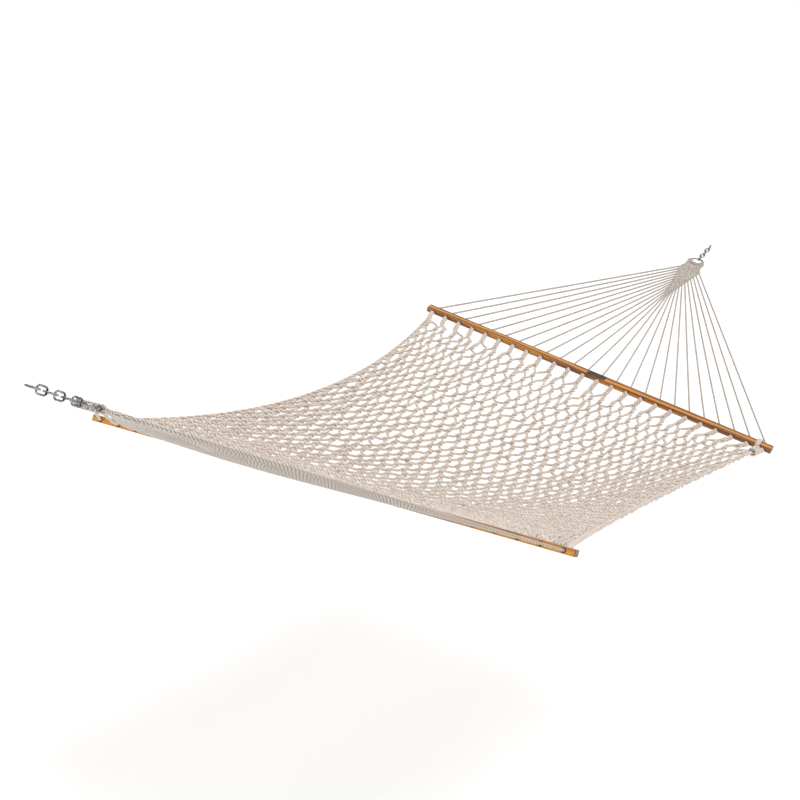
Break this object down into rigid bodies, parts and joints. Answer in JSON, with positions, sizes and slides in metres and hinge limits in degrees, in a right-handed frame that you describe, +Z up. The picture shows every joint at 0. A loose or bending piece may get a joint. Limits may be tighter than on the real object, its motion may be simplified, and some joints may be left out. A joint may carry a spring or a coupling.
{
  "type": "rope hammock",
  "caption": "Open rope-net hammock between two drilled wooden spreader bars, with clew cords plaited to a steel ring and a short hanging chain at each end.",
  "frame": {"origin": "the point where a hook bears in the foot end's last chain link, on the inside of its outer bend", "axes": "+X from the foot end to the head end along the hammock, +Y across the bed to its left edge, +Z up"},
  "size_m": [4.646, 1.5198, 0.6855],
  "materials": {
    "rope": "twisted cotton-look cord, weathered off-white",
    "wood": "varnished oak",
    "steel": "bright zinc plate",
    "label": "dark satin, blank"
  },
  "bodies": {
    "hangers": {"foot_hang_link": "steel", "head_hang_link": "steel"},
    "bed": {"bed_net": "rope", "left_edge_rope": "rope", "right_edge_rope": "rope"},
    "foot_clew": {"foot_chain_link_1": "steel", "foot_chain_link_2": "steel", "foot_chain_link_3": "steel", "foot_chain_link_4": "steel", "foot_chain_link_5": "steel", "foot_ring": "steel", "foot_clew_plait": "rope", "foot_clew_cords": "rope", "foot_end_loops": "rope"},
    "foot_bar": {"foot_spreader_bar": "wood"},
    "head_clew": {"head_ring": "steel", "head_clew_plait": "rope", "head_clew_cords": "rope", "head_end_loops": "rope", "head_chain_link_1": "steel", "head_chain_link_2": "steel", "head_chain_link_3": "steel", "head_chain_link_4": "steel"},
    "head_bar": {"head_spreader_bar": "wood", "label_plate": "label", "label_pins": "steel", "edge_rope_lashing": "rope"}
  },
  "joints": [
    {"name": "swing", "type": "hinge", "parent": "hangers", "child": "bed", "pos_m": [0.02884, 0, -0.01067], "axis": [1, 0, -0.0023], "range_deg": [-25, 25]},
    {"name": "foot_lean", "type": "hinge", "parent": "bed", "child": "foot_clew", "pos_m": [0.19508, 0, -0.07216], "axis": [0.9379, 0, -0.3469], "range_deg": [-5, 8], "stiffness_Nm_per_rad": 20},
    {"name": "head_lean", "type": "hinge", "parent": "bed", "child": "head_clew", "pos_m": [4.46934, 0, -0.07216], "axis": [-0.9379, 0, -0.3469], "range_deg": [-5, 8], "stiffness_Nm_per_rad": 20},
    {"name": "foot_bar_rock", "type": "hinge", "parent": "foot_clew", "child": "foot_bar", "pos_m": [1.26521, 0, -0.46802], "axis": [-0.0308, 0.996, -0.0834], "range_deg": [-6, 6], "stiffness_Nm_per_rad": 2},
    {"name": "head_bar_rock", "type": "hinge", "parent": "head_clew", "child": "head_bar", "pos_m": [3.39921, 0, -0.46802], "axis": [-0.0308, 0.996, 0.0834], "range_deg": [-6, 6], "stiffness_Nm_per_rad": 2}
  ]
}
